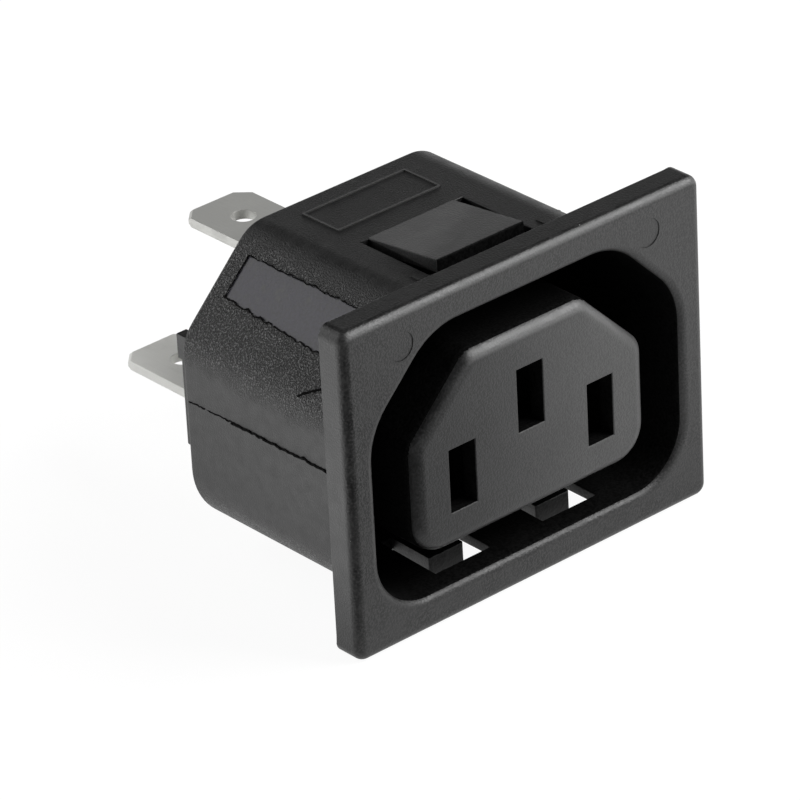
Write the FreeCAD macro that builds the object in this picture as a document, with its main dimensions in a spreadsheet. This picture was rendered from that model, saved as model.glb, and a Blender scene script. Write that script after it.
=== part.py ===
import FreeCAD, Part
import math
import os
import Sketcher
from FreeCAD import Placement, Rotation, Vector

# Snap-in power outlet for a panel, in millimetres.
# The origin is the centre of the flange's back face, which lies on the panel.
# The plug side looks along -Y, the tabs point along +Y, and +Z is up.

SIZES = [
    # flange
    ("flange_width", "36.0"),
    ("flange_height", "27.6"),
    ("flange_thick", "2.6"),
    ("flange_corner", "1.0"),
    ("flange_edge", "0.8"),
    ("ejector_width", "2.4"),
    ("ejector_depth", "0.06"),
    ("ejector_inset_x", "5.6"),
    ("ejector_inset_z", "2.9"),
    # tongue that enters the plug
    ("tongue_width", "23.6"),
    ("tongue_height", "15.6"),
    ("tongue_cut", "5.9"),
    ("tongue_round", "2.0"),
    ("tongue_foot", "3.0"),
    ("tongue_edge", "1.2"),
    ("tongue_face", "1.5"),
    # well round the tongue, at its mouth
    ("gap_side", "3.7"),
    ("gap_above", "3.15"),
    ("well_cut", "6.3"),
    ("well_depth", "15.5"),
    ("well_round", "6.0"),
    ("well_foot", "4.8"),
    ("well_edge", "0.7"),
    ("well_draft", "2.0"),
    # shroud round the well: walls at the mouth, then the wall at the rear
    ("wall_side", "0.5"),
    ("wall_top", "1.35"),
    ("wall_foot", "0.75"),
    ("wall", "1.05"),
    ("body_cut", "7.165"),
    ("body_round", "3.45"),
    ("body_foot", "5.65"),
    ("body_depth", "18.7"),
    ("body_edge", "0.35"),
    ("web", "1.5"),
    # pins of the plug and the slots for them
    ("pin_pitch", "14.0"),
    ("earth_offset", "4.0"),
    ("pin_row", "-2.12"),
    ("pin_height", "4.0"),
    ("slot_width", "2.6"),
    ("slot_height", "5.3"),
    ("chamber_width", "4.4"),
    ("chamber_room", "0.15"),
    # top latch
    ("latch_width", "8.7"),
    ("latch_slit", "0.8"),
    ("latch_tip", "2.3"),
    ("latch_gap", "0.25"),
    ("latch_root", "10.0"),
    ("latch_rise", "0.9"),
    ("latch_thick", "1.15"),
    ("latch_edge", "0.15"),
    # two bottom hooks
    ("hook_width", "3.5"),
    ("hook_slit", "1.0"),
    ("hook_pitch", "10.95"),
    ("hook_front", "0.3"),
    ("hook_tip", "1.6"),
    ("hook_root", "5.8"),
    ("hook_drop", "0.9"),
    ("hook_thick", "1.8"),
    # moulding details of the shroud
    ("patch_high", "2.85"),
    ("patch_low", "1.8"),
    ("patch_low_rear", "0.75"),
    ("patch_rear", "1.8"),
    ("patch_depth", "0.1"),
    ("field_length", "10.4"),
    ("field_width", "4.2"),
    ("field_rear", "2.0"),
    ("field_rim", "0.18"),
    ("field_proud", "0.1"),
    ("rib_pitch", "12.6"),
    ("rib_front", "2.05"),
    ("rib_length", "0.9"),
    ("rib_width", "0.25"),
    ("rib_proud", "0.12"),
    # rear cover
    ("ledge", "1.2"),
    ("cover_thick", "1.6"),
    ("cover_set", "0.2"),
    ("cover_clear", "0.1"),
    ("ear_height", "9.4"),
    ("ear_proud", "0.7"),
    ("ear_inset", "0.5"),
    ("ear_root", "0.5"),
    ("lug_height", "2.1"),
    ("lug_thick", "1.0"),
    ("lug_proud", "0.45"),
    ("collar_wall", "1.0"),
    ("collar_proud", "1.0"),
    # contacts
    ("sheet_thick", "0.8"),
    ("leaf_thick", "0.5"),
    ("leaf_height", "4.4"),
    ("leaf_gap", "2.6"),
    ("leaf_pinch", "1.8"),
    ("leaf_mouth", "2.9"),
    ("leaf_front", "2.2"),
    ("leaf_bow", "4.7"),
    ("leaf_free", "9.2"),
    ("leaf_root", "1.5"),
    ("leaf_notch", "0.5"),
    ("bow_round", "1.5"),
    ("plate_clear", "0.2"),
    ("step_length", "1.0"),
    ("step_from_web", "0.4"),
    ("shoulder_width", "8.2"),
    ("seat_gap", "0.05"),
    ("tab_width", "6.3"),
    ("tab_reach", "15.5"),
    ("tab_corner", "1.0"),
    ("tab_bevel", "0.25"),
    ("tab_hole", "2.0"),
    ("tab_hole_inset", "4.0"),
    ("tab_clear", "0.15"),
    ("earth_tab_rise", "3.3"),
    ("fold_round", "0.5"),
    # how far a cut runs past what it opens
    ("past", "1.0"),
]

doc = FreeCAD.newDocument("panel_socket")
sheet = doc.addObject("Spreadsheet::Sheet", "Sizes")
for row, (alias, value) in enumerate(SIZES, start=1):
    sheet.set("A%d" % row, alias)
    sheet.set("B%d" % row, value)
    sheet.setAlias("B%d" % row, alias)
doc.recompute()


def size(expression):
    """Number that an expression on the sheet gives."""
    return float(sheet.evalExpression(expression))


def named(text):
    """Expression with each sheet name written as S.name."""
    return text.replace("S.", "Sizes.")


# Values that follow from the driving sizes, as expressions on the sheet
DIAGONAL = "(2 - sqrt(2))"
WELL_WIDTH = named("(S.tongue_width + 2 * S.gap_side)")
WELL_HEIGHT = named("(S.tongue_height + 2 * S.gap_above)")
BODY_WIDTH = named("(%s + 2 * S.wall_side)" % WELL_WIDTH)
BODY_HEIGHT = named("(%s + S.wall_top + S.wall_foot)" % WELL_HEIGHT)
BODY_RISE = named("((S.wall_top - S.wall_foot) / 2)")
BODY_TOP = named("(%s / 2 + S.wall_top)" % WELL_HEIGHT)
BODY_FOOT = named("(-%s / 2 - S.wall_foot)" % WELL_HEIGHT)
FRONT = named("(-S.flange_thick)")
WEB_REAR = named("(S.well_depth - S.flange_thick + S.web)")
COVER_FRONT = named("(S.body_depth - S.cover_set - S.cover_thick)")
COVER_REAR = named("(S.body_depth - S.cover_set)")
POLE_X = named("(S.pin_pitch / 2)")
EARTH_ROW = named("(S.pin_row + S.earth_offset)")
PLATE_RISE = named("(S.pin_height / 2 + S.plate_clear + S.sheet_thick / 2)")
CHAMBER_FAR = named("(S.slot_height / 2 + S.chamber_room)")
EARTH_NEAR = named("(S.earth_tab_rise + S.sheet_thick / 2 + S.chamber_room)")
POLE_NEAR = named("(%s + S.sheet_thick / 2 + S.chamber_room)" % PLATE_RISE)


def new_body(label):
    body = doc.addObject("PartDesign::Body", label)
    body.Label = label
    return body


def new_sketch(body, name, plane, offset=None):
    """Sketch on one of the body's origin planes, moved along that plane's normal."""
    planes = {feature.Role: feature for feature in body.Origin.OriginFeatures}
    sketch = body.newObject("Sketcher::SketchObject", name)
    sketch.AttachmentSupport = [(planes[plane], "")]
    sketch.MapMode = "FlatFace"
    if offset:
        sketch.setExpression("AttachmentOffset.Base.z", named(offset))
    return sketch


def fix_point(sketch, geometry, point, where, values):
    """Hold one point of a sketch at two expressions, measured from the sketch's origin."""
    for kind, expression, value in zip(("DistanceX", "DistanceY"), where, values):
        index = sketch.addConstraint(Sketcher.Constraint(kind, -1, 1, geometry, point, value))
        sketch.setExpression("Constraints[%d]" % index, expression)


def add_outline(sketch, corners):
    """Closed outline, anticlockwise, through corners given as (across, up) or (across, up, radius)."""
    names = [[named(part) for part in corner] for corner in corners]
    spots = [Vector(size(name[0]), size(name[1]), 0) for name in names]
    radii = [size(name[2]) if len(name) == 3 else 0.0 for name in names]
    count = len(spots)
    arrive = []
    leave = []
    for number, spot in enumerate(spots):
        back = (spots[number - 1] - spot).normalize()
        ahead = (spots[(number + 1) % count] - spot).normalize()
        run = radii[number] / math.tan(back.getAngle(ahead) / 2)
        arrive.append(spot + back * run)
        leave.append(spot + ahead * run)
    first = sketch.GeometryCount
    for number in range(count):
        sketch.addGeometry(Part.LineSegment(leave[number], arrive[(number + 1) % count]))
    for number in range(count):
        before = first + (number - 1) % count
        after = first + number
        if radii[number]:
            chord = (arrive[number], leave[number])
            turn = (spots[number] - arrive[number]).cross(leave[number] - spots[number]).z
            add_round(sketch, (before, after), spots[number], names[number], chord, radii[number], turn > 0)
        else:
            sketch.addConstraint(Sketcher.Constraint("Coincident", before, 2, after, 1))
            fix_point(sketch, after, 1, names[number][:2], spots[number])
    return sketch


def add_round(sketch, edges, spot, name, chord, radius, outward):
    """Arc between two edges of an outline, tangent to both, whose sharp corner is a fixed point."""
    start, end = chord
    inward = ((start + end) * 0.5 - spot).normalize()
    half_chord = start.distanceToPoint(end) / 2
    rise = radius - math.sqrt(radius ** 2 - half_chord ** 2)
    middle = (start + end) * 0.5 - inward * rise
    corner = sketch.addGeometry(Part.Point(spot), True)
    fix_point(sketch, corner, 1, name[:2], spot)
    arc = sketch.addGeometry(Part.Arc(start, middle, end))
    for edge in edges:
        sketch.addConstraint(Sketcher.Constraint("PointOnObject", corner, 1, edge))
    near_end, far_end = (1, 2) if outward else (2, 1)
    sketch.addConstraint(Sketcher.Constraint("Tangent", edges[0], 2, arc, near_end))
    sketch.addConstraint(Sketcher.Constraint("Tangent", arc, far_end, edges[1], 1))
    index = sketch.addConstraint(Sketcher.Constraint("Radius", arc, radius))
    sketch.setExpression("Constraints[%d]" % index, name[2])


def add_rectangle(sketch, left, right, low, high):
    return add_outline(sketch, [(left, low), (right, low), (right, high), (left, high)])


def add_circle(sketch, across, up, diameter):
    where = (named(across), named(up))
    place = Vector(size(where[0]), size(where[1]), 0)
    width = named(diameter)
    number = sketch.addGeometry(Part.Circle(place, Vector(0, 0, 1), size(width) / 2))
    fix_point(sketch, number, 3, where, place)
    index = sketch.addConstraint(Sketcher.Constraint("Diameter", number, size(width)))
    sketch.setExpression("Constraints[%d]" % index, width)
    return sketch


def shroud_outline(width, height, cut, shoulder, foot, rise="0"):
    """Upright outline with both upper corners cut at 45 degrees, as the plug's own outline has."""
    half = "%s / 2" % width
    low = "%s - %s / 2" % (rise, height)
    high = "%s + %s / 2" % (rise, height)
    return [
        ("-(%s)" % half, low, foot),
        (half, low, foot),
        (half, "%s - %s" % (high, cut), shoulder),
        ("%s - %s" % (half, cut), high, shoulder),
        ("%s - %s" % (cut, half), high, shoulder),
        ("-(%s)" % half, "%s - %s" % (high, cut), shoulder),
    ]


def body_outline(inset):
    """The shroud's outline, moved inwards by an expression."""
    return shroud_outline(
        "(%s - 2 * (%s))" % (BODY_WIDTH, inset), "(%s - 2 * (%s))" % (BODY_HEIGHT, inset),
        "(S.body_cut - %s * (%s))" % (DIAGONAL, inset),
        "S.body_round - (%s)" % inset, "S.body_foot - (%s)" % inset, BODY_RISE)


def grow(body, name, sketch, length, reverse=False, middle=False):
    pad = body.newObject("PartDesign::Pad", name)
    pad.Profile = sketch
    pad.setExpression("Length", named(length))
    pad.Reversed = reverse
    pad.Midplane = middle
    doc.recompute()
    return pad


def carve(body, name, sketch, length=None, reverse=False):
    """Pocket that has to take material away, both ways right through where it has no length."""
    before = body.Shape.Volume
    pocket = body.newObject("PartDesign::Pocket", name)
    pocket.Profile = sketch
    if length:
        pocket.setExpression("Length", named(length))
    else:
        pocket.Type = "ThroughAll"
        pocket.Midplane = True
    pocket.Reversed = reverse
    doc.recompute()
    if not body.Shape.Volume < before:
        raise RuntimeError("%s cuts nothing" % name)
    return pocket


def mirror_sideways(body, name, originals):
    """The same features on the other side of the body's middle plane."""
    planes = {feature.Role: feature for feature in body.Origin.OriginFeatures}
    mirrored = body.newObject("PartDesign::Mirrored", name)
    mirrored.Originals = originals
    mirrored.MirrorPlane = (planes["YZ_Plane"], [""])
    body.Tip = mirrored
    doc.recompute()
    return mirrored


def finish_edges(body, kind, name, width, wanted):
    """Fillet or chamfer the edges of the body's shape for which wanted(edge) is true."""
    base = body.Tip
    names = []
    for number, edge in enumerate(base.Shape.Edges, start=1):
        if wanted(edge):
            names.append("Edge%d" % number)
    if not names:
        raise RuntimeError("%s finds no edge" % name)
    finish = body.newObject("PartDesign::" + kind, name)
    finish.Base = (base, names)
    finish.setExpression("Radius" if kind == "Fillet" else "Size", named(width))
    doc.recompute()
    return finish


def round_edges(body, name, radius, wanted):
    return finish_edges(body, "Fillet", name, radius, wanted)


NEAR = 0.02
SLOPE = 45


def close(first, second):
    return abs(first - second) < NEAR


def runs_along(edge, axis):
    """True for a straight edge along the axis with this number: 0, 1 or 2 for X, Y or Z."""
    ends = [vertex.Point for vertex in edge.Vertexes]
    if len(ends) != 2:
        return False
    return all(close(ends[0][other], ends[1][other]) for other in range(3) if other != axis)


def on_plane(edge, axis, level):
    return all(close(vertex.Point[axis], level) for vertex in edge.Vertexes)


# Housing: flange, shroud, tongue, web and snap latches in one moulding
def make_flange(body):
    sketch = new_sketch(body, "flange_outline", "XZ_Plane")
    add_rectangle(sketch, "-S.flange_width / 2", "S.flange_width / 2",
                  "-S.flange_height / 2", "S.flange_height / 2")
    grow(body, "flange", sketch, "S.flange_thick")
    round_edges(body, "flange_corners", "S.flange_corner", lambda edge: runs_along(edge, 1))
    front = size(FRONT)
    round_edges(body, "flange_front_edge", "S.flange_edge", lambda edge: on_plane(edge, 1, front))
    marks = new_sketch(body, "ejector_marks", "XZ_Plane", "S.flange_thick")
    for side in ("-", ""):
        add_circle(marks, "%s(S.flange_width / 2 - S.ejector_inset_x)" % side,
                   "S.flange_height / 2 - S.ejector_inset_z", "S.ejector_width")
    carve(body, "ejector_dents", marks, "S.ejector_depth")


def make_shroud(body):
    sketch = new_sketch(body, "shroud_outline", "XZ_Plane")
    grow(body, "shroud", add_outline(sketch, body_outline("0")), "S.body_depth", reverse=True)
    rear = size("Sizes.body_depth")
    round_edges(body, "shroud_rear_edge", "S.body_edge", lambda edge: on_plane(edge, 1, rear))


def make_well(body):
    """Well that narrows towards its floor, and the tongue that stands on the floor, flush with the front."""
    sketch = new_sketch(body, "well_outline", "XZ_Plane", "S.flange_thick")
    add_outline(sketch, shroud_outline(WELL_WIDTH, WELL_HEIGHT, "S.well_cut", "S.well_round", "S.well_foot"))
    well = carve(body, "well", sketch, "S.well_depth")
    well.setExpression("TaperAngle", named("-S.well_draft"))
    sketch = new_sketch(body, "tongue_outline", "XZ_Plane", "S.flange_thick")
    add_outline(sketch, shroud_outline("S.tongue_width", "S.tongue_height", "S.tongue_cut",
                                       "S.tongue_round", "S.tongue_foot"))
    grow(body, "tongue", sketch, "S.well_depth", reverse=True)
    tongue_rim = front_rim("S.tongue_width", "S.tongue_height")
    well_rim = front_rim(WELL_WIDTH, WELL_HEIGHT)
    round_edges(body, "tongue_front_edge", "S.tongue_edge", tongue_rim)
    round_edges(body, "well_mouth", "S.well_edge", lambda edge: well_rim(edge) and not tongue_rim(edge))


def front_rim(width, height):
    """Test for the edges of the front face that lie inside an upright rectangle round the middle."""
    front = size(FRONT)
    half_width = size(named(width)) / 2 + NEAR
    half_height = size(named(height)) / 2 + NEAR

    def wanted(edge):
        ends = [vertex.Point for vertex in edge.Vertexes]
        inside = all(abs(end.x) < half_width and abs(end.z) < half_height for end in ends)
        return inside and len(ends) == 2 and on_plane(edge, 1, front)

    return wanted


def make_rear(body):
    sketch = new_sketch(body, "cover_seat_outline", "XZ_Plane", "-S.body_depth")
    carve(body, "cover_seat", add_outline(sketch, body_outline("S.wall")), "S.cover_set + S.cover_thick",
          reverse=True)
    sketch = new_sketch(body, "rear_room_outline", "XZ_Plane", "-S.body_depth")
    carve(body, "rear_room", add_outline(sketch, body_outline("S.wall + S.ledge")),
          "S.body_depth - %s" % WEB_REAR, reverse=True)


def make_chambers(body):
    earth = new_sketch(body, "earth_chamber_outline", "XZ_Plane", "-S.body_depth")
    add_rectangle(earth, "-S.chamber_width / 2", "S.chamber_width / 2",
                  "%s - %s" % (EARTH_ROW, CHAMBER_FAR), "%s + %s" % (EARTH_ROW, EARTH_NEAR))
    length = "S.body_depth + S.flange_thick - S.tongue_face"
    carve(body, "earth_chamber", earth, length, reverse=True)
    slot = new_sketch(body, "earth_slot_outline", "XZ_Plane", "S.flange_thick")
    add_rectangle(slot, "-S.slot_width / 2", "S.slot_width / 2",
                  "%s - S.slot_height / 2" % EARTH_ROW, "%s + S.slot_height / 2" % EARTH_ROW)
    carve(body, "earth_slot", slot, "S.tongue_face + S.past")
    pole = new_sketch(body, "pole_chamber_outline", "XZ_Plane", "-S.body_depth")
    add_rectangle(pole, "-%s - S.chamber_width / 2" % POLE_X, "-%s + S.chamber_width / 2" % POLE_X,
                  "S.pin_row - %s" % POLE_NEAR, "S.pin_row + %s" % CHAMBER_FAR)
    chamber = carve(body, "pole_chamber", pole, length, reverse=True)
    slot = new_sketch(body, "pole_slot_outline", "XZ_Plane", "S.flange_thick")
    add_rectangle(slot, "-%s - S.slot_width / 2" % POLE_X, "-%s + S.slot_width / 2" % POLE_X,
                  "S.pin_row - S.slot_height / 2", "S.pin_row + S.slot_height / 2")
    opening = carve(body, "pole_slot", slot, "S.tongue_face + S.past")
    mirror_sideways(body, "pole_chambers", [chamber, opening])


def make_top_latch(body):
    """Wedge with its root at the rear, free at the front and on both sides."""
    window = new_sketch(body, "latch_window_outline", "XY_Plane", BODY_TOP)
    half = "(S.latch_width / 2 + S.latch_slit)"
    add_rectangle(window, "-%s" % half, half, "S.latch_tip - S.latch_gap", "S.latch_root")
    carve(body, "latch_window", window, "S.wall_top + S.past")
    wedge = new_sketch(body, "latch_profile", "YZ_Plane")
    add_outline(wedge, [
        ("S.latch_root + S.wall", "%s - S.wall" % BODY_TOP),
        ("S.latch_root + S.wall", BODY_TOP),
        ("S.latch_root", BODY_TOP),
        ("S.latch_tip", "%s + S.latch_rise" % BODY_TOP),
        ("S.latch_tip", "%s + S.latch_rise - S.latch_thick" % BODY_TOP),
        ("S.latch_root", "%s - S.wall" % BODY_TOP),
    ])
    grow(body, "latch", wedge, "S.latch_width", middle=True)
    tip = size(named("S.latch_tip"))
    top = size(named("%s + S.latch_rise" % BODY_TOP))
    round_edges(body, "latch_tip_edge", "S.latch_edge",
                lambda edge: on_plane(edge, 1, tip) and on_plane(edge, 2, top))


def make_bottom_hooks(body):
    middle = "S.hook_pitch / 2"
    half = "(S.hook_width / 2 + S.hook_slit)"
    window = new_sketch(body, "hook_window_outline", "XY_Plane", BODY_FOOT)
    add_rectangle(window, "-%s - %s" % (middle, half), "-%s + %s" % (middle, half),
                  "-S.hook_front", "S.hook_root")
    opening = carve(body, "hook_window", window, "S.wall + S.past", reverse=True)
    wedge = new_sketch(body, "hook_profile", "YZ_Plane", "-%s" % middle)
    add_outline(wedge, [
        ("S.hook_root + S.wall", "%s + S.wall" % BODY_FOOT),
        ("S.hook_root", "%s + S.wall" % BODY_FOOT),
        ("S.hook_tip", "%s - S.hook_drop + S.hook_thick" % BODY_FOOT),
        ("S.hook_tip", "%s - S.hook_drop" % BODY_FOOT),
        ("S.hook_root", BODY_FOOT),
        ("S.hook_root + S.wall", BODY_FOOT),
    ])
    hook = grow(body, "hook", wedge, "S.hook_width", middle=True)
    mirror_sideways(body, "hooks", [opening, hook])


def make_patches(body):
    """Shallow insert witness on each sloping face of the shroud, open towards the flange."""
    sketch = new_sketch(body, "patch_outline", "XY_Plane")
    sketch.AttachmentOffset = Placement(Vector(0, 0, 0), Rotation(Vector(0, 1, 0), -SLOPE))
    sketch.setExpression("AttachmentOffset.Base.x", named("S.body_cut / 2 - %s / 2" % BODY_WIDTH))
    sketch.setExpression("AttachmentOffset.Base.z", named("%s - S.body_cut / 2" % BODY_TOP))
    rear = "S.body_depth - S.patch_rear"
    add_outline(sketch, [("-S.patch_low", "0"), ("S.patch_high", "0"),
                         ("S.patch_high", rear), ("-S.patch_low_rear", rear)])
    patch = carve(body, "patch", sketch, "S.patch_depth")
    mirror_sideways(body, "patches", [patch])


def make_field(body):
    """Bare raised frame on top of the shroud, near the rear."""
    sketch = new_sketch(body, "field_outline", "XY_Plane", BODY_TOP)
    rear = "S.body_depth - S.field_rear"
    front = "%s - S.field_width" % rear
    add_rectangle(sketch, "-S.field_length / 2", "S.field_length / 2", front, rear)
    add_rectangle(sketch, "S.field_rim - S.field_length / 2", "S.field_length / 2 - S.field_rim",
                  "%s + S.field_rim" % front, "%s - S.field_rim" % rear)
    grow(body, "field_frame", sketch, "S.field_proud")


def make_ribs(body):
    """Short low rib on each side of the latch's tip."""
    sketch = new_sketch(body, "rib_outline", "XY_Plane", BODY_TOP)
    add_rectangle(sketch, "-S.rib_pitch / 2 - S.rib_width / 2", "-S.rib_pitch / 2 + S.rib_width / 2",
                  "S.rib_front", "S.rib_front + S.rib_length")
    rib = grow(body, "rib", sketch, "S.rib_proud")
    mirror_sideways(body, "ribs", [rib])


def make_housing():
    body = new_body("housing")
    make_flange(body)
    make_shroud(body)
    make_well(body)
    make_rear(body)
    make_chambers(body)
    make_top_latch(body)
    make_bottom_hooks(body)
    make_patches(body)
    make_field(body)
    make_ribs(body)
    return body


def make_rear_cover():
    """Plate that closes the rear, with two side ears and a collar round each tab."""
    body = new_body("rear_cover")
    sketch = new_sketch(body, "plate_outline", "XZ_Plane", "-%s" % COVER_REAR)
    grow(body, "plate", add_outline(sketch, body_outline("S.wall + S.cover_clear")),
         "S.cover_thick - S.seat_gap")
    low = "%s - S.ear_height / 2" % BODY_RISE
    high = "%s + S.ear_height / 2" % BODY_RISE
    edge = "-%s / 2 + S.ear_inset" % BODY_WIDTH
    root = "-%s / 2 + S.wall + S.ear_root" % BODY_WIDTH
    inner = "%s + S.lug_thick" % root
    sketch = new_sketch(body, "ear_outline", "XZ_Plane", "-S.body_depth - S.ear_proud")
    add_rectangle(sketch, edge, inner, low, high)
    ear = grow(body, "ear", sketch, "S.ear_proud - S.seat_gap")
    sketch = new_sketch(body, "ear_root_outline", "XZ_Plane", "-S.body_depth - S.ear_proud")
    add_rectangle(sketch, root, inner, low, high)
    ear_root = grow(body, "ear_root", sketch, "S.ear_proud + S.cover_set")
    sketch = new_sketch(body, "lug_outline", "XZ_Plane", "-S.body_depth - S.ear_proud - S.lug_proud")
    add_rectangle(sketch, edge, "%s + S.lug_thick" % edge, "%s - S.lug_height" % high, high)
    lug = grow(body, "lug", sketch, "S.lug_proud + S.ear_proud - S.seat_gap")
    mirror_sideways(body, "ears", [ear, ear_root, lug])
    tab_half = "(S.tab_width / 2 + S.tab_clear)"
    tab_rise = "(S.sheet_thick / 2 + S.tab_clear)"
    places = (
        ("earth", "0", "%s + S.earth_tab_rise" % EARTH_ROW),
        ("line", "-%s" % POLE_X, "S.pin_row - %s" % PLATE_RISE),
        ("neutral", POLE_X, "S.pin_row - %s" % PLATE_RISE),
    )
    for label, across, up in places:
        sketch = new_sketch(body, label + "_collar_outline", "XZ_Plane", "-%s - S.collar_proud" % COVER_REAR)
        add_rectangle(sketch, "%s - %s - S.collar_wall" % (across, tab_half),
                      "%s + %s + S.collar_wall" % (across, tab_half),
                      "%s - %s - S.collar_wall" % (up, tab_rise), "%s + %s + S.collar_wall" % (up, tab_rise))
        grow(body, label + "_collar", sketch, "S.collar_proud")
    for label, across, up in places:
        sketch = new_sketch(body, label + "_tab_slot_outline", "XZ_Plane",
                            "-%s - S.collar_proud" % COVER_REAR)
        add_rectangle(sketch, "%s - %s" % (across, tab_half), "%s + %s" % (across, tab_half),
                      "%s - %s" % (up, tab_rise), "%s + %s" % (up, tab_rise))
        carve(body, label + "_tab_slot", sketch, "S.collar_proud + S.cover_thick", reverse=True)
    return body


def make_contact(label, across, row, tab_rise, flip):
    """Folded strip: two spring leaves round the pin, a shoulder behind the web, and a flat tab.

    It is drawn with its plate above the pin; flip turns it over, so that the plate lies below.
    """
    body = new_body(label)
    plate_low = "%s - S.sheet_thick / 2" % PLATE_RISE
    plate_high = "%s + S.sheet_thick / 2" % PLATE_RISE
    tab_low = "%s - S.sheet_thick / 2" % tab_rise
    tab_high = "%s + S.sheet_thick / 2" % tab_rise
    step_end = "%s - S.step_from_web" % WEB_REAR
    step_start = "%s - S.step_length" % step_end
    tip = "S.body_depth + S.tab_reach"
    profile = new_sketch(body, "strip_profile", "YZ_Plane")
    add_outline(profile, [
        ("S.leaf_free", plate_low),
        (step_start, plate_low),
        (step_end, tab_low),
        (tip, tab_low),
        (tip, tab_high),
        (step_end, tab_high),
        (step_start, plate_high),
        ("S.leaf_free", plate_high),
    ])
    grow(body, "strip", profile, "S.shoulder_width", middle=True)
    outer = "(S.leaf_gap / 2 + S.leaf_thick)"
    shoulder = "S.shoulder_width / 2"
    shoulder_front = "%s + S.seat_gap" % WEB_REAR
    shoulder_rear = "%s - S.seat_gap" % COVER_FRONT
    trim = new_sketch(body, "side_trim", "XY_Plane")
    add_outline(trim, [
        (outer, "S.leaf_free - S.past"),
        (outer, shoulder_front),
        (shoulder, shoulder_front),
        (shoulder, shoulder_rear),
        ("S.tab_width / 2", shoulder_rear),
        ("S.tab_width / 2", "%s - S.tab_corner" % tip),
        ("S.tab_width / 2 - S.tab_corner", tip),
        ("S.tab_width / 2 - S.tab_corner", "%s + S.past" % tip),
        ("%s + S.past" % shoulder, "%s + S.past" % tip),
        ("%s + S.past" % shoulder, "S.leaf_free - S.past"),
    ])
    cut = carve(body, "side_cut", trim)
    mirror_sideways(body, "side_cuts", [cut])
    hole = new_sketch(body, "tab_hole_outline", "XY_Plane")
    add_circle(hole, "0", "%s - S.tab_hole_inset" % tip, "S.tab_hole")
    carve(body, "tab_hole", hole)
    far = "(-S.leaf_height / 2)"
    root = "%s - S.leaf_root" % step_start
    leaf = new_sketch(body, "leaf_outline", "XY_Plane", far)
    add_outline(leaf, [
        ("S.leaf_gap / 2", root),
        ("S.leaf_gap / 2", "S.leaf_free"),
        ("S.leaf_pinch / 2", "S.leaf_bow", "S.bow_round"),
        ("S.leaf_mouth / 2", "S.leaf_front"),
        ("S.leaf_mouth / 2 + S.leaf_thick", "S.leaf_front"),
        ("S.leaf_pinch / 2 + S.leaf_thick", "S.leaf_bow", "S.bow_round + S.leaf_thick"),
        (outer, "S.leaf_free"),
        (outer, root),
    ])
    spring = grow(body, "leaf", leaf, "%s - %s" % (plate_low, far))
    relief = new_sketch(body, "leaf_relief_outline", "XY_Plane", plate_low)
    add_rectangle(relief, "0", "%s + S.past" % outer, "S.leaf_front - S.past", "S.leaf_free")
    notch = carve(body, "leaf_relief", relief, "S.leaf_notch")
    mirror_sideways(body, "leaves", [spring, notch])
    fold = (size(named(outer)), size(named(plate_high)))

    def on_fold(edge):
        place = edge.Vertexes[0].Point
        return runs_along(edge, 1) and close(abs(place.x), fold[0]) and close(place.z, fold[1])

    round_edges(body, "folds", "S.fold_round", on_fold)
    tip_zone = size(named("%s - S.tab_corner" % tip)) - NEAR

    def on_tip(edge):
        flat = close(edge.Vertexes[0].Point.z, edge.Vertexes[-1].Point.z)
        return flat and edge.BoundBox.YMin > tip_zone

    finish_edges(body, "Chamfer", "tip_bevel", "S.tab_bevel", on_tip)
    body.setExpression("Placement.Base.x", named(across))
    body.setExpression("Placement.Base.z", named(row))
    if flip:
        body.Placement = Placement(Vector(0, 0, 0), Rotation(Vector(0, 1, 0), 180))
    doc.recompute()
    return body


subparts = [
    make_housing(),
    make_rear_cover(),
    make_contact("earth_contact", "0", EARTH_ROW, "S.earth_tab_rise", flip=False),
    make_contact("line_contact", "-%s" % POLE_X, "S.pin_row", PLATE_RISE, flip=True),
    make_contact("neutral_contact", POLE_X, "S.pin_row", PLATE_RISE, flip=True),
]
doc.recompute()

for thing in doc.Objects:
    if "Invalid" in thing.State or "Error" in thing.State:
        raise RuntimeError("%s failed: %s" % (thing.Name, thing.State))
for subpart in subparts:
    if subpart.Shape.isNull() or not subpart.Shape.isValid():
        raise RuntimeError("%s has no valid shape" % subpart.Label)

os.makedirs("parts", exist_ok=True)
for subpart in subparts:
    subpart.Shape.exportStep(os.path.join("parts", subpart.Label + ".step"))
    box = subpart.Shape.BoundBox
    print("%s: %d solid, %.1f mm3, %.2f x %.2f x %.2f mm" % (
        subpart.Label, len(subpart.Shape.Solids), subpart.Shape.Volume,
        box.XLength, box.YLength, box.ZLength))
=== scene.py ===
# %% [markdown]
# # A snap-in panel socket, finished on its CAD frame
# The part is a mains outlet for a panel. One black moulding carries the flange, the well for the
# plug and the tongue with its three slots. Three plated contacts end in tabs behind a rear cover.
# The CAD frame gives every size, so this lesson adds what a mould, a press and some handling leave
# on the real thing: rounded edges, spark-eroded grain, parting lines and plating. It also paints
# light into some colours: a sheen on the tongue and latch, highlights on upper edges, glints on the
# grain, shade in the well, and platings made darker or brighter to suit the lamps.

# %% Load the frame
import math

import bmesh
import bpy
from mathutils import Matrix, Vector


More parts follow.
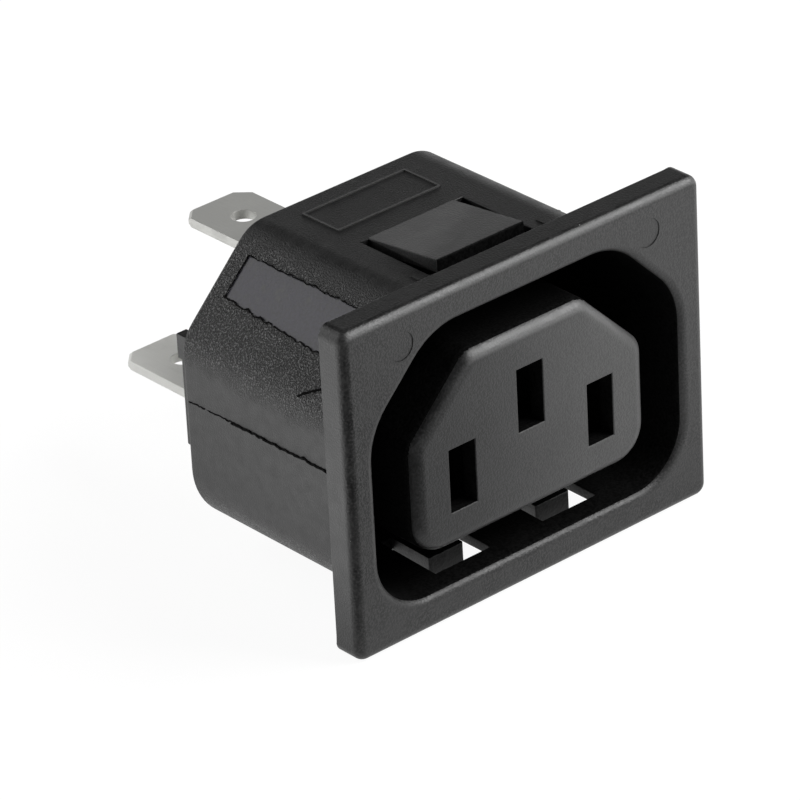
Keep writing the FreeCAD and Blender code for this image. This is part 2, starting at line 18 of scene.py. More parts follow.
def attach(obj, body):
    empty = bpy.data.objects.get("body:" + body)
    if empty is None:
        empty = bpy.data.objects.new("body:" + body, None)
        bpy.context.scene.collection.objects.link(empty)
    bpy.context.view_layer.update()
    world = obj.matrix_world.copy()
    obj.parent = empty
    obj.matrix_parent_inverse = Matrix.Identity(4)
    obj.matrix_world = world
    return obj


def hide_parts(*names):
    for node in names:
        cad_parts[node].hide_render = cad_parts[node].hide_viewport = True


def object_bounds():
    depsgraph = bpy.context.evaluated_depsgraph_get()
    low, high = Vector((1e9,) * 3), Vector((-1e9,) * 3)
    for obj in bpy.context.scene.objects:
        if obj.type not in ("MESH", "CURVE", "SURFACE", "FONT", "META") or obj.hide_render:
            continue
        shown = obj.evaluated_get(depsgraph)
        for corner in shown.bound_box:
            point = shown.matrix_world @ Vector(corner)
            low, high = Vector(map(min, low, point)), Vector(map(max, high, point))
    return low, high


MM = 0.001
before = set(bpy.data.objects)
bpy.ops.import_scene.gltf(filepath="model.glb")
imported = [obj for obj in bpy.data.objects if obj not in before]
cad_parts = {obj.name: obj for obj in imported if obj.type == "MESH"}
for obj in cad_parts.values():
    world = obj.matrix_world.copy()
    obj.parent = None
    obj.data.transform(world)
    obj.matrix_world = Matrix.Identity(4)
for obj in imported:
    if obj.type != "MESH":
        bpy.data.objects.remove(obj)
cad_box = [list(corner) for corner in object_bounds()]
print("CAD nodes:", sorted(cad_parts))

# %% [markdown]
# ## The camera
# The photograph was taken with a long lens from the front left, looking down on the part. Its
# place was worked out from the part's own corners, so it is written as a point, two angles and a
# small roll. Building the rotation from three plain directions keeps each angle easy to check.

# %% Set the camera
CAMERA_PLACE = Vector((-251.857, -285.969, 208.637)) * MM
HEADING = math.radians(40.157)
DROP = math.radians(28.584)
ROLL = math.radians(-3.0711)
LENS_MM = 260.694
SENSOR_MM = 36.0
NEAREST = 0.01
FARTHEST = 20.0

ahead = Vector((math.sin(HEADING) * math.cos(DROP),
                math.cos(HEADING) * math.cos(DROP),
                -math.sin(DROP)))
level = Vector((math.cos(HEADING), -math.sin(HEADING), 0.0))
above = level.cross(ahead)
right = level * math.cos(ROLL) + above * math.sin(ROLL)
up = above * math.cos(ROLL) - level * math.sin(ROLL)

lens = bpy.data.cameras.new("long_lens")
lens.lens = LENS_MM
lens.sensor_width = SENSOR_MM
lens.clip_start = NEAREST
lens.clip_end = FARTHEST
camera = bpy.data.objects.new("long_lens", lens)
turned = Matrix((right, up, -ahead)).transposed().to_4x4()
camera.matrix_world = Matrix.Translation(CAMERA_PLACE) @ turned
bpy.context.scene.collection.objects.link(camera)
bpy.context.scene.camera = camera
print("camera at", [round(v, 4) for v in CAMERA_PLACE], "with a lens of", LENS_MM, "mm")

# %% [markdown]
# ## Writing node trees as sums
# A finish is mostly arithmetic on textures. Wiring that by hand hides the idea, so one small class
# wraps a socket: sums on it add Math nodes, and any other node comes from one method that takes
# the node's type, its settings and what goes into its sockets.

# %% A socket that can be calculated with
def find_socket(sockets, key):
    """Socket by index, by identifier, or by name among those in use."""
    if isinstance(key, int):
        return sockets[key]
    for socket in sockets:
        if socket.identifier == key:
            return socket
    return next(socket for socket in sockets if socket.name == key and socket.enabled)


class Wire:
    """An output socket of a tree. Without a socket it only starts a tree."""

    def __init__(self, tree, socket=None):
        self.tree = tree
        self.socket = socket

    def node(self, kind, settings=None, sockets=None, out=0):
        """A new node of this type, as a wire from the output asked for, where it has any."""
        made = self.tree.nodes.new(kind)
        for key, value in (settings or {}).items():
            if key == "stops":
                for place, (position, colour) in enumerate(value):
                    ramp = made.color_ramp.elements
                    stop = ramp[place] if place < len(ramp) else ramp.new(position)
                    stop.position = position
                    stop.color = colour
            else:
                setattr(made, key, value)
        for key, value in (sockets or {}).items():
            socket = find_socket(made.inputs, key)
            if isinstance(value, Wire):
                self.tree.links.new(value.socket, socket)
            else:
                socket.default_value = value
        return Wire(self.tree, find_socket(made.outputs, out) if made.outputs else None)

    def maths(self, operation, *values):
        return self.node("ShaderNodeMath", {"operation": operation}, dict(enumerate(values)))

    def __add__(self, other):
        return self.maths("ADD", self, other)

    def __radd__(self, other):
        return self.maths("ADD", other, self)

    def __sub__(self, other):
        return self.maths("SUBTRACT", self, other)

    def __rsub__(self, other):
        return self.maths("SUBTRACT", other, self)

    def __mul__(self, other):
        return self.maths("MULTIPLY", self, other)

    def __rmul__(self, other):
        return self.maths("MULTIPLY", other, self)

    def __lt__(self, other):
        return self.maths("LESS_THAN", self, other)

    def __gt__(self, other):
        return self.maths("GREATER_THAN", self, other)

    def rise(self, low, high):
        """0 below low, 1 above high, and smooth between."""
        return self.node("ShaderNodeMapRange", {"interpolation_type": "SMOOTHSTEP"},
                         {"Value": self, "From Min": low, "From Max": high})

    def blend(self, first, second):
        """The first colour where this is 0, and the second where it is 1."""
        return self.node("ShaderNodeMix", {"data_type": "RGBA"},
                         {"Factor_Float": self, "A_Color": first, "B_Color": second},
                         "Result_Color")

    def part(self, axis):
        """One of the three numbers of a vector."""
        return self.node("ShaderNodeSeparateXYZ", None, {0: self}, axis)


print("shader sums ready")

# %% [markdown]
# ## Black moulded plastic
# The housing is one black plastic. Its mould was spark-eroded on the slopes, which leaves a coarse
# grain of pits and peaks there, and is nearly smooth elsewhere. A picture could show that, but a
# pattern worked out from the place on the piece has no seams and stays sharp when seen close. One
# function makes every variety: a level of grey, a grain that bump and colour share, soft blotches,
# marks of handling (smears and dust), and painted light: pale flecks on the grain's peaks that are
# partly painted glints, a painted sheen on one side or corner, and painted highlights on upper
# edges. Where a finish changes inside one face, a mask scales the grain. Dust specks are sparse
# cells of a Voronoi pattern, chosen by their random colour.

# %% Starting and ending a finish
PLAIN = (1.0, 1.0, 1.0)


def new_finish(name):
    """An empty material, with a wire to start from and one that gives the place on the piece."""
    material = bpy.data.materials.new(name)
    material.use_nodes = True
    material.node_tree.nodes.clear()
    start = Wire(material.node_tree)
    return material, start, start.node("ShaderNodeTexCoord", out="Object")


def end_tree(start, shader, kind="ShaderNodeOutputMaterial"):
    """Joins the last shader to the tree's output."""
    start.node(kind, None, {"Surface": shader})


def grey(level, tint=PLAIN):
    """A colour of this level, leaning towards the tint."""
    return tuple(level * share for share in tint) + (1.0,)


def in_mm(place, axes):
    """The place along each of the axes, in millimetres."""
    return [place.part(axis) * (1.0 / MM) for axis in axes]


def noise(place, size_mm, detail=2.0):
    """Soft lumps of about this size."""
    return place.node("ShaderNodeTexNoise", None,
                      {"Vector": place, "Scale": 1.0 / (size_mm * MM), "Detail": detail})


def uneven(place, size_mm, spread_mm):
    """Millimetres to add to a place, so that a border there isn't straight."""
    return spread_mm * (noise(place, size_mm) - 0.5)


print("helpers for finishes ready")

# %% Masks that say where a mark is
BODY_TOP = 12.3
SMOOTH_FROM, SMOOTHED_BY = 10.0, 2.2
SLOPE_SPAN = (18.2, 21.0)
FOOT_SPAN = (6.8, 9.0)
FOOT_DEPTH = 0.6
TRACE_DEPTH = 0.12
UPPER_SPAN = (2.0, 6.0)
TONGUE_SPAN = (-10.0, 11.0)
LATCH_SLANT = 0.45
LATCH_SPAN = (4.5, 7.0)
LATCH_SHEEN_SHARE = 0.6


def dust_specks(place, cell_mm, speck_mm, share):
    """1 on a few small round specks, 0 elsewhere."""
    cells = {"Vector": place, "Scale": 1.0 / (cell_mm * MM)}
    near = place.node("ShaderNodeTexVoronoi", None, cells, "Distance") < speck_mm / cell_mm
    chance = place.node("ShaderNodeTexVoronoi", None, cells, "Color").part("X") < share
    return near * chance


def on_slopes(place):
    """How far the grain shows and how deep it is: most on the shroud's slopes, less on its lower
    rounds, and a trace of depth elsewhere."""
    x, z = in_mm(place, "XZ")
    smooth_top = SMOOTHED_BY * z.rise(SMOOTH_FROM, BODY_TOP)
    across = place.maths("ABSOLUTE", x) + z - smooth_top + uneven(place, 2.5, 2.0)
    slope = across.rise(*SLOPE_SPAN)
    # On the lower rounds the grain's pale flecks also paint light onto an underside in shade.
    foot = (uneven(place, 2.0, 1.5) - z).rise(*FOOT_SPAN)
    return slope + foot, TRACE_DEPTH + slope + FOOT_DEPTH * foot


# Painted highlight: rounds that turn from the front to the top, towards the front right box, are
# painted paler.
def upper_edges(start, place):
    """1 on rounds of the upper half that turn from the front towards the top."""
    normal = start.node("ShaderNodeNewGeometry", out="Normal")
    x, y, z = (normal.part(axis) for axis in "XYZ")
    upper = in_mm(place, "Z")[0].rise(*UPPER_SPAN)
    return upper * z.rise(0.15, 0.45) * (0.0 - y).rise(0.3, 0.6) * x.rise(-0.5, -0.05)


# Painted sheen: the tongue's face is painted paler towards the right, where light from the front
# right mirrors in it more brightly.
def paler_right(place):
    """0 on the left of the tongue, 1 on the right, with a soft uneven change between."""
    return (in_mm(place, "X")[0] + uneven(place, 4.0, 5.0)).rise(*TONGUE_SPAN)


# Painted reflection: the latch's top is painted paler on its rear corner, where a reflection
# brightens it.
def paler_corner(place):
    """Most on the latch's rear corner and 0 on its front, with a soft slanting change between."""
    x, y = in_mm(place, "XY")
    return (y - LATCH_SLANT * x + uneven(place, 2.0, 1.5)).rise(*LATCH_SPAN) * LATCH_SHEEN_SHARE


print("grain is full from", SLOPE_SPAN[1], "mm across and up, and from", FOOT_SPAN[1], "mm down")

# %% The plastic finish
GRAIN_SPAN = (0.3, 0.7)
BLOTCH_SPAN = (0.25, 0.75)
FLECK_AND_GLINT_SPAN = (0.05, 0.5)
SMEAR_MM, SMEAR_SPAN = 0.9, (0.56, 0.74)
DUST_CELL_MM, DUST_MM = 1.5, 0.07
# The grey of the painted sheen, a paler tone laid where light mirrors brightly.
PAINTED_SHEEN_GREY = grey(0.065)
# A pale grey for dust specks and for painted highlights on upper edges.
PALE_DUST_AND_HIGHLIGHT = grey(0.3)
BLOTCH_GLOSS, GRAIN_GLOSS = 0.25, 0.10
PLASTIC_IOR = 1.5


def moulded_plastic(name, level, roughness, grain_mm, depth_mm, fleck_and_glint=0.0, mask=None, tint=PLAIN,
                    blotch_mm=1.6, blotch_share=0.4, painted_sheen=None, smear=0.0, painted_edge_highlight=0.0, dust=0.0,
                    specular=0.5):
    """Black plastic with this level of grey, its grain and blotches, and the marks and painted light
    asked for.
    """
    material, start, place = new_finish(name)
    grain = noise(place, grain_mm).rise(*GRAIN_SPAN)
    blotch = noise(place, blotch_mm, 3.0).rise(*BLOTCH_SPAN)
    shown, deep = mask(place) if mask else (1.0, 1.0)
    lumps = (grain - 0.5) * shown
    shade = 0.5 + 0.5 * lumps + blotch_share * (blotch - 0.5)
    colour = shade.blend(grey(0.0), grey(2.0 * level, tint))
    # Pale flecks on the grain's peaks: partly the grain's own tone and partly painted glints.
    if fleck_and_glint:
        colour = lumps.rise(*FLECK_AND_GLINT_SPAN).blend(colour, grey(fleck_and_glint, tint))
    # Painted sheen: a paler grey over one side or corner, where the lamps' reflection brightens it.
    if painted_sheen:
        colour = (painted_sheen(place) * (0.7 + 0.3 * grain)).blend(colour, PAINTED_SHEEN_GREY)
    if smear:
        colour = noise(place, SMEAR_MM, 4.0).rise(*SMEAR_SPAN).blend(colour, grey(smear))
    # Painted highlight: upper front edges are painted paler, where the front right box lights them.
    if painted_edge_highlight:
        colour = (upper_edges(start, place) * painted_edge_highlight).blend(colour, PALE_DUST_AND_HIGHLIGHT)
    if dust:
        colour = dust_specks(place, DUST_CELL_MM, DUST_MM, dust).blend(colour, PALE_DUST_AND_HIGHLIGHT)
    rough = roughness + BLOTCH_GLOSS * blotch_share * (blotch - 0.5) + GRAIN_GLOSS * lumps
    bump = start.node("ShaderNodeBump", None, {
        "Strength": 1.0, "Distance": depth_mm * MM, "Height": (grain - 0.5) * deep})
    end_tree(start, start.node("ShaderNodeBsdfPrincipled", None, {
        "Base Color": colour, "Roughness": rough, "Normal": bump,
        "IOR": PLASTIC_IOR, "Specular IOR Level": specular}))
    return material


print("plastic finish ready")

# %% The plastics of this part
BODY, FLANGE, TONGUE, WELL, PATCH, LATCH, BRIM = range(7)
COOL = (0.97, 1.0, 1.02)
VIOLET = (1.0, 0.95, 1.28)

housing_finishes = [
    moulded_plastic("spark_grain_plastic", level=0.008, roughness=0.46, grain_mm=0.14,
                    depth_mm=0.11, fleck_and_glint=0.18, mask=on_slopes, blotch_mm=1.0, blotch_share=0.45,
                    dust=0.02),
    moulded_plastic("satin_flange_plastic", level=0.016, roughness=0.42, grain_mm=0.17,
                    depth_mm=0.012, fleck_and_glint=0.030, painted_edge_highlight=0.25, dust=0.05),
    moulded_plastic("tongue_plastic", level=0.008, roughness=0.42, grain_mm=0.17, depth_mm=0.012,
                    fleck_and_glint=0.016, tint=COOL, painted_sheen=paler_right, painted_edge_highlight=0.25, dust=0.08),
    # A darker plastic with almost no reflection: painted shade in the well, on the tongue's sides
    # and on the latch's front. The beads use it as their own dark colour.
    moulded_plastic("well_plastic", level=0.0055, roughness=0.5, grain_mm=0.2, depth_mm=0.01,
                    blotch_share=0.05, specular=0.02),
    moulded_plastic("patch_plastic", level=0.038, roughness=0.36, grain_mm=0.3, depth_mm=0.006,
                    fleck_and_glint=0.042, tint=VIOLET, blotch_mm=1.8, blotch_share=0.2, smear=0.048),
    moulded_plastic("latch_plastic", level=0.020, roughness=0.42, grain_mm=0.15, depth_mm=0.012,
                    fleck_and_glint=0.032, painted_sheen=paler_corner),
    moulded_plastic("brim_plastic", level=0.007, roughness=0.44, grain_mm=0.17, depth_mm=0.010,
                    fleck_and_glint=0.016, dust=0.02),
]
cover_finish = moulded_plastic("cover_plastic", level=0.012, roughness=0.42, grain_mm=0.2,
                               depth_mm=0.008)
print("plastic finishes:", [m.name for m in housing_finishes] + [cover_finish.name])

# %% [markdown]
# ## Plated sheet metal
# The contacts are stamped from brass strip and plated bright. Rolling leaves faint lines along the
# strip, and handling dulls it in soft spots. Stretched highlights could hint at the lines, but an
# export would lose them. Noise stretched along the strip gives the lines themselves, and they drive
# a little bump and gloss, because that is how they come about.

# %% The plated finish
ROLLED = (12000.0, 250.0, 12000.0)
WARM = (1.0, 1.0, 0.96)
DULL_MM, DULL_SPAN = 2.5, (0.45, 0.75)
DULLED = 0.8
LINE_GLOSS, DULL_GLOSS = 0.10, 0.12
LINE_DEPTH = 0.003 * MM


def plated_metal(name, level, roughness, metallic):
    """Plating of this level, with rolled lines along the strip and dull spots."""
    material, start, place = new_finish(name)
    strip = start.node("ShaderNodeMapping", None, {"Vector": place, "Scale": ROLLED})
    lines = start.node("ShaderNodeTexNoise", None, {"Vector": strip, "Scale": 1.0, "Detail": 3.0})
    dull = noise(place, DULL_MM, 4.0).rise(*DULL_SPAN)
    colour = (0.5 * lines + 0.5 * dull).blend(grey(level, WARM), grey(DULLED * level, WARM))
    rough = roughness + LINE_GLOSS * lines + DULL_GLOSS * dull
    bump = start.node("ShaderNodeBump", None, {
        "Strength": 1.0, "Distance": LINE_DEPTH, "Height": lines})
    end_tree(start, start.node("ShaderNodeBsdfPrincipled", None, {
        "Base Color": colour, "Roughness": rough, "Normal": bump, "Metallic": metallic}))
    return material


# Two copies of one plating painted for light: darker for the upper tab, which the lamps reach more,
# and brighter with less metal for the lower tabs, to lift the line tab out of the body's shade.
plating_painted_darker = plated_metal("dull_plated_strip", level=0.62, roughness=0.42, metallic=0.65)
plating_painted_brighter = plated_metal("bright_plated_strip", level=1.0, roughness=0.5, metallic=0.1)
print("metal finishes:", plating_painted_darker.name, plating_painted_brighter.name)

# %% [markdown]
# ## Rounding the sharp edges
# No moulded or stamped edge is truly sharp, and a sharp edge catches no light. The CAD already has
# the larger rounds, so a merged copy of each node only needs a small bevel on what is left. A Bevel
# modifier would give every edge the same width, limited by the narrowest face, so wide and fine
# edges go in separate passes here.

# %% A merged copy with softer edges
MERGE = 1e-6
SHARP = math.radians(28.0)


def merged_copy(node):
    """A working mesh of a CAD node, with its loose triangles joined."""
    mesh = bmesh.new()
    mesh.from_mesh(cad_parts[node].data)
    bmesh.ops.remove_doubles(mesh, verts=mesh.verts[:], dist=MERGE)
    return mesh


def room_beside(edge):
    """Width of the narrower face at an edge, measured square to it."""
    a, b = (v.co for v in edge.verts)
    along = (b - a).normalized()
    widths = []
    for face in edge.link_faces:
        reach = [(v.co - a) - along * (v.co - a).dot(along) for v in face.verts]
        widths.append(max(r.length for r in reach))
    return min(widths)


def soften(mesh, width_mm, room_mm):
    """Bevels the convex sharp edges that have at least this room beside them."""
    edges = [edge for edge in mesh.edges
             if edge.is_manifold and edge.is_convex and edge.calc_face_angle() > SHARP
             and room_beside(edge) > room_mm * MM]
    bmesh.ops.bevel(mesh, geom=edges, offset=width_mm * MM, offset_type="OFFSET", segments=2,
                    profile=0.5, affect="EDGES", clamp_overlap=True, loop_slide=True, material=-1)
    return len(edges)


print("edges over", round(math.degrees(SHARP)), "degrees count as sharp")

# %% [markdown]
# ## Light over flats and rounds
# On the real part light runs evenly over a round and stops dead on a flat. Plain smooth shading
# bends the flats, and plain flat shading shows every facet. So the corner normals are written out:
# a broad flat keeps its own, a small round beside it starts from the flat's, and the long strips
# that make up a large round share theirs.

# %% Flat patches and strips of rounds
SAME_PLANE = math.radians(0.5)
ROUND_STEP = math.radians(16.0)
BROAD = 0.3 * MM
WIDEST_STRIP = 1.6 * MM


def flat_patches(mesh):
    """Groups the faces into flat patches. Gives each face its patch, and each patch its mean
    width and normal."""
    patch_of = {}
    widths = []
    facing = []
    for face in mesh.faces:
        if face in patch_of:
            continue
        patch = [face]
        patch_of[face] = len(widths)
        for member in patch:
            for edge in member.edges:
                for other in edge.link_faces:
                    if other not in patch_of and other.normal.angle(face.normal) < SAME_PLANE:
                        patch_of[other] = len(widths)
                        patch.append(other)
        spots = [vert.co for member in patch for vert in member.verts]
        spans = [max(spot[axis] for spot in spots) - min(spot[axis] for spot in spots)
                 for axis in range(3)]
        widths.append(sum(member.calc_area() for member in patch) / max(spans))
        facing.append(face.normal.copy())
    return patch_of, widths, facing


def strips_of_rounds(mesh, patch_of, widths):
    """The patches that are strips of a large round: a little turn away lies one of much the same
    width."""
    strips = set()
    for edge in mesh.edges:
        pair = {patch_of[face] for face in edge.link_faces}
        if len(pair) == 2 and edge.calc_face_angle() < ROUND_STEP:
            narrow, wide = sorted(widths[patch] for patch in pair)
            if BROAD < wide < min(2.0 * narrow, WIDEST_STRIP):
                strips |= pair
    return strips


print("patches wider than", round(BROAD / MM, 2), "mm count as flats")

# %% From a working mesh to a piece
TURN = math.radians(35.0)
DEGENERATE = 1e-7


def corner_normals(mesh):
    """Normals for all corners in order: broad flats keep their own, and rounds join on to them."""
    mesh.normal_update()
    patch_of, widths, facing = flat_patches(mesh)
    strips = strips_of_rounds(mesh, patch_of, widths)
    flats = {patch for patch, width in enumerate(widths) if width > BROAD} - strips
    normals = []
    for face in mesh.faces:
        own = patch_of[face]
        turn = ROUND_STEP if own in strips else TURN
        for corner in face.loops:
            near = {patch_of[other] for other in corner.vert.link_faces
                    if other.normal.angle(face.normal) < turn}
            if own in flats:
                normals.append(facing[own])
            elif near & flats:
                normals.append(facing[max(near & flats, key=lambda patch: widths[patch])])
            else:
                joined = near & strips if own in strips else near
                shared = sum((facing[patch] * widths[patch] for patch in joined), Vector())
                normals.append(shared.normalized())
    print("flat patches", len(flats), "strips of large rounds", len(strips))
    return normals


def finish_mesh(mesh, name, finishes):
    """Turns the working mesh into an object with its own normals, and says whether it is closed."""
    bmesh.ops.dissolve_degenerate(mesh, edges=mesh.edges[:], dist=DEGENERATE)
    open_edges = sum(1 for edge in mesh.edges if not edge.is_manifold)
    for face in mesh.faces:
        face.smooth = True
    normals = corner_normals(mesh)
    data = bpy.data.meshes.new(name)
    mesh.to_mesh(data)
    mesh.free()
    data.normals_split_custom_set(normals)
    for material in finishes:
        data.materials.append(material)
    piece = bpy.data.objects.new(name, data)
    bpy.context.scene.collection.objects.link(piece)
    print(name, "faces", len(data.polygons), "open edges", open_edges)
    return piece


print("ready to finish the nodes")

# %% [markdown]
# ## One moulding, several finishes
# The housing comes out of one mould, but its areas were polished or eroded differently: a satin
# flange, a darker brim, grained slopes with a smooth insert. Faces deep in the well and the latch's
# front get a darker plastic with almost no reflection, which paints the shade that lies there. Faces
# could be picked by hand, but a rule on where a face lies and which way it looks still holds when
# the mesh is made again. All sizes below are in millimetres from the middle of the flange's back.

# %% Which face has which finish
FLANGE_BACK = 0.02
HOOKS_FRONT, HOOK_TIPS_BACK, HOOKS_BACK = 0.5, 2.2, 6.2
HOOKS_TOP, HOOKS_SIDE = -10.0, 9.0
WELL_SIDE, WELL_FLOOR, WELL_ROOF, WELL_SLOPE = 15.72, -11.35, 11.75, 20.65
FOOT_MIDDLE, INSIDE_FOOT = (10.35, -6.05), 5.4
TONGUE_SIDE, TONGUE_HALF_HEIGHT, TONGUE_FACE = 11.9, 7.9, -1.3
LATCH_SIDE, LATCH_BACK = 4.4, 10.1
LATCH_ABOVE, FRAME_ABOVE = BODY_TOP + 0.12, BODY_TOP + 0.03
SLOPE_SUM, PATCH_DEPTH, ON_PLANE = 21.135, 0.1, 0.02


def in_well(x, z):
    """Whether a place across and up lies inside the well's outline."""
    from_foot = math.hypot(max(x - FOOT_MIDDLE[0], 0.0), max(FOOT_MIDDLE[1] - z, 0.0))
    in_box = x < WELL_SIDE and WELL_FLOOR < z < WELL_ROOF
    return in_box and x + z < WELL_SLOPE and from_foot < INSIDE_FOOT


def housing_zone(face):
    """Which finish a face of the housing has."""
    x, y, z = face.calc_center_median() / MM
    x = abs(x)
    turned_front = face.normal.y < -0.4
    hook_side = abs(face.normal.x) > 0.7 and y < HOOKS_BACK
    by_hooks = y > HOOKS_FRONT and z < HOOKS_TOP and x < HOOKS_SIDE
    if by_hooks and (hook_side or turned_front and y < HOOK_TIPS_BACK):
        return BRIM
    # Painted shade: faces deep in the well take the darker well finish.
    if in_well(x, z):
        if x < TONGUE_SIDE and abs(z) < TONGUE_HALF_HEIGHT:
            return TONGUE if turned_front and y < TONGUE_FACE else WELL
        return FLANGE if turned_front and y < FLANGE_BACK else WELL
    if y < FLANGE_BACK:
        return BRIM if face.normal.z > 0.9 else FLANGE
    if z > LATCH_ABOVE and x < LATCH_SIDE and y < LATCH_BACK:
        # Painted shade: the latch's front face, close behind the flange, takes the darker well
        # finish.
        return WELL if turned_front else LATCH
    if z > FRAME_ABOVE and y > LATCH_BACK:
        return LATCH
    from_insert = abs(x + z - SLOPE_SUM + PATCH_DEPTH * math.sqrt(2.0))
    if from_insert < ON_PLANE and abs(face.normal.z - math.sqrt(0.5)) < 0.01:
        return PATCH
    return BODY


mesh = merged_copy("housing")
wide = soften(mesh, width_mm=0.09, room_mm=0.45)
fine = soften(mesh, width_mm=0.03, room_mm=0.09)
print("housing edges softened:", wide, "wide,", fine, "fine")
counts = [0] * len(housing_finishes)
for face in mesh.faces:
    face.material_index = housing_zone(face)
    counts[face.material_index] += 1
print("faces for each finish:", counts)

# %% [markdown]
# ## Lines that the mould leaves
# Where two halves of a mould meet, a little plastic creeps into the joint and stays as a thin uneven
# bead. One runs along each side of the shroud at mid height, one round the insert on each slope, and
# a short step near the flange on the left. A dark line in the finish could pass for it, but would
# not be in the mesh. A bead follows a path, so Geometry Nodes make it: the path is cut into short
# steps, each step is nudged by noise, and a round profile of changing width runs along it.

# %% A tree that makes a bead
BEAD_INPUTS = [("Geometry", "Geometry"), ("Step", "Float"), ("Wobble", "Float"),
               ("Radius", "Float"), ("Seed", "Float"), ("Finish", "Material")]
LUMPS_PER_METRE = 2200.0
BEAD_SIDES = 6


def bead_tree():
    """Node tree that turns a path into a thin uneven bead."""
    tree = bpy.data.node_groups.new("mould_bead", "GeometryNodeTree")
    for name, kind in BEAD_INPUTS:
        tree.interface.new_socket(name=name, in_out="INPUT", socket_type="NodeSocket" + kind)
    tree.interface.new_socket(name="Geometry", in_out="OUTPUT", socket_type="NodeSocketGeometry")
    start = Wire(tree)
    given = {name: start.node("NodeGroupInput", out=name) for name, kind in BEAD_INPUTS}
    path = start.node("GeometryNodeResampleCurve", {"mode": "LENGTH"},
                      {"Curve": given["Geometry"], "Length": given["Step"]})
    lumps = {"Vector": start.node("GeometryNodeInputPosition"), "W": given["Seed"],
             "Scale": LUMPS_PER_METRE, "Detail": 2.0}
    sway = start.node("ShaderNodeTexNoise", {"noise_dimensions": "4D"}, lumps, "Color")
    sway = start.node("ShaderNodeVectorMath", {"operation": "SUBTRACT"},
                      {0: sway, 1: (0.5, 0.5, 0.5)})
    sway = start.node("ShaderNodeVectorMath", {"operation": "SCALE"},
                      {0: sway, "Scale": given["Wobble"]})
    path = start.node("GeometryNodeSetPosition", None, {"Geometry": path, "Offset": sway})
    girth = start.node("ShaderNodeTexNoise", {"noise_dimensions": "4D"}, lumps)
    girth = girth.rise(*GRAIN_SPAN) * 0.5 + 0.5
    ring = start.node("GeometryNodeCurvePrimitiveCircle", None,
                      {"Resolution": BEAD_SIDES, "Radius": given["Radius"]})
    bead = start.node("GeometryNodeCurveToMesh", None, {
        "Curve": path, "Profile Curve": ring, "Scale": girth, "Fill Caps": True})
    bead = start.node("GeometryNodeRealizeInstances", None, {"Geometry": bead})
    bead = start.node("GeometryNodeSetMaterial", None,
                      {"Geometry": bead, "Material": given["Finish"]})
    start.node("NodeGroupOutput", None, {"Geometry": bead})
    return tree


beads = bead_tree()
print("bead tree with", len(beads.nodes), "nodes")

# %% A bead along a path
def bead_mesh(tree, points_mm, inputs):
    """The bead along a path of points, as a mesh of its own."""
    path = bpy.data.curves.new("path", "CURVE")
    path.dimensions = "3D"
    line = path.splines.new("POLY")
    line.points.add(len(points_mm) - 1)
    for point, place in zip(line.points, points_mm):
        point.co = tuple(part * MM for part in place) + (1.0,)
    carrier = bpy.data.objects.new("path", path)
    bpy.context.scene.collection.objects.link(carrier)
    modifier = carrier.modifiers.new("bead", "NODES")
    modifier.node_group = tree
    for item in tree.interface.items_tree:
        if item.in_out == "INPUT" and item.name in inputs:
            modifier[item.identifier] = inputs[item.name]
    bpy.context.view_layer.update()
    evaluated = carrier.evaluated_get(bpy.context.evaluated_depsgraph_get())
    made = bpy.data.meshes.new_from_object(evaluated)
    bpy.data.objects.remove(carrier)
    return made


print("ready to lay beads")

# %% Beads along the mould's joints
BEAD_STEP = 0.16 * MM
SLOPE_MIDDLE = (-12.4175, 8.7175)


def on_slope(lift, y):
    """Point of the left slope, by its distance up the slope from the middle and its depth."""
    rise = lift / math.sqrt(2.0)
    return (SLOPE_MIDDLE[0] + rise, y, SLOPE_MIDDLE[1] + rise)


# Each row has a label, the bead's radius, how far it wobbles, and its points, in millimetres.
PATHS = [
    ("joint", 0.09, 0.45, [(-16.0, 18.2, 0.0), (-16.0, 13.2, 0.0)]),
    ("joint", 0.17, 0.45, [(-16.0, 13.3, 0.0), (-16.0, 9.0, 0.04), (-16.0, 0.3, 0.0)]),
    ("insert", 0.09, 0.65, [on_slope(-1.8, 0.5), on_slope(-1.28, 9.0), on_slope(-0.75, 16.9)]),
    ("insert", 0.05, 0.15, [on_slope(-0.75, 16.9), on_slope(2.85, 16.9)]),
    ("insert", 0.07, 0.60, [on_slope(2.85, 16.9), on_slope(2.85, 9.0), on_slope(2.85, 0.4)]),
    ("step", 0.13, 0.15, [(-15.74, 5.55, 5.08), (-15.44, 4.6, 5.64), (-14.99, 3.4, 6.18)]),
]
bead_faces = 0
for side in (1, -1):
    for seed, (label, radius, wobble, points) in enumerate(PATHS):
        if label == "step" and side < 0:
            continue
        bead = bead_mesh(beads, [(side * x, y, z) for x, y, z in points], {
            "Step": BEAD_STEP, "Wobble": wobble * MM, "Radius": radius * MM,
            "Seed": 3.0 * seed + side, "Finish": housing_finishes[WELL]})
        bead.polygons.foreach_set("material_index", [WELL] * len(bead.polygons))
        mesh.from_mesh(bead)
        bead_faces += len(bead.polygons)
        bpy.data.meshes.remove(bead)
print("bead faces:", bead_faces)
housing = finish_mesh(mesh, "housing_moulding", housing_finishes)

# %% [markdown]
# ## The cover and the contacts
# The rear cover is a plain moulded plate, and the contacts are stamped strip whose edges the press
# leaves slightly round. Each has one finish all over, so a loop repeats the housing's steps with a
# bevel to suit. The upper tab is duller than the lower two in the photograph. Its plating is painted
# darker and theirs brighter, as painted light: the lamps reach the upper tab more, and the line tab
# lies in the body's shade.

